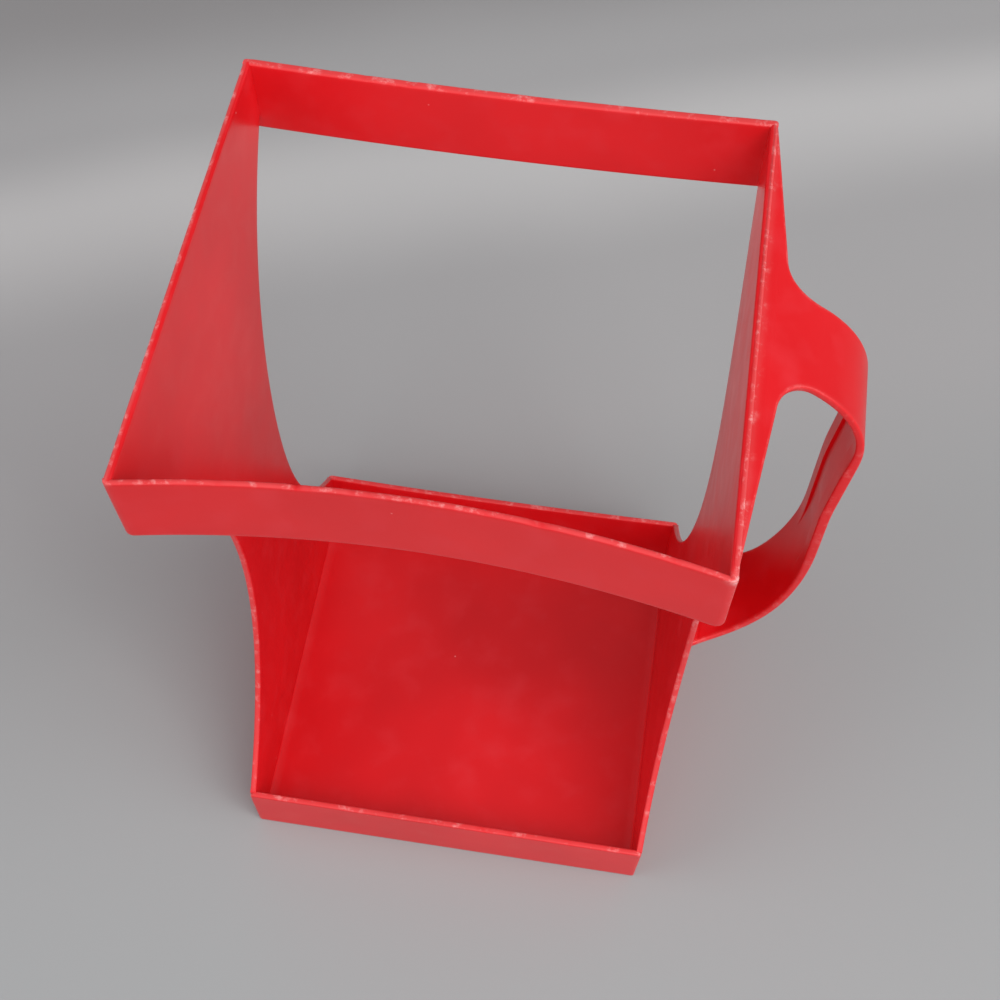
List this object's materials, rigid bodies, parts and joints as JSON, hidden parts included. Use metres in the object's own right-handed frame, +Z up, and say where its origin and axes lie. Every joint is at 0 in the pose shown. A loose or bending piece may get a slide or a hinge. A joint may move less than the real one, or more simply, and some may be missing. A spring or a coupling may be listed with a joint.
{
  "type": "milk carton carrier",
  "caption": "Open carrier for a half-gallon gable-top carton: low square tray and wider collar joined by hourglass side walls, with a strap handle on one side.",
  "frame": {"origin": "centre of the base's underside, where the carrier stands on a table", "axes": "+Z up, +X towards the handle, -Y towards the viewer of the picture"},
  "size_m": [0.1333, 0.104, 0.18],
  "materials": {
    "red_polypropylene": "gloss"
  },
  "bodies": {
    "root": {"base_floor": "red_polypropylene", "front_rim": "red_polypropylene", "back_rim": "red_polypropylene", "left_side_panel": "red_polypropylene", "right_side_panel": "red_polypropylene", "front_collar_band": "red_polypropylene", "back_collar_band": "red_polypropylene", "handle_shoulder": "red_polypropylene", "handle_grip": "red_polypropylene", "handle_grip_front_rib": "red_polypropylene", "handle_grip_back_rib": "red_polypropylene", "handle_foot": "red_polypropylene"}
  },
  "joints": []
}
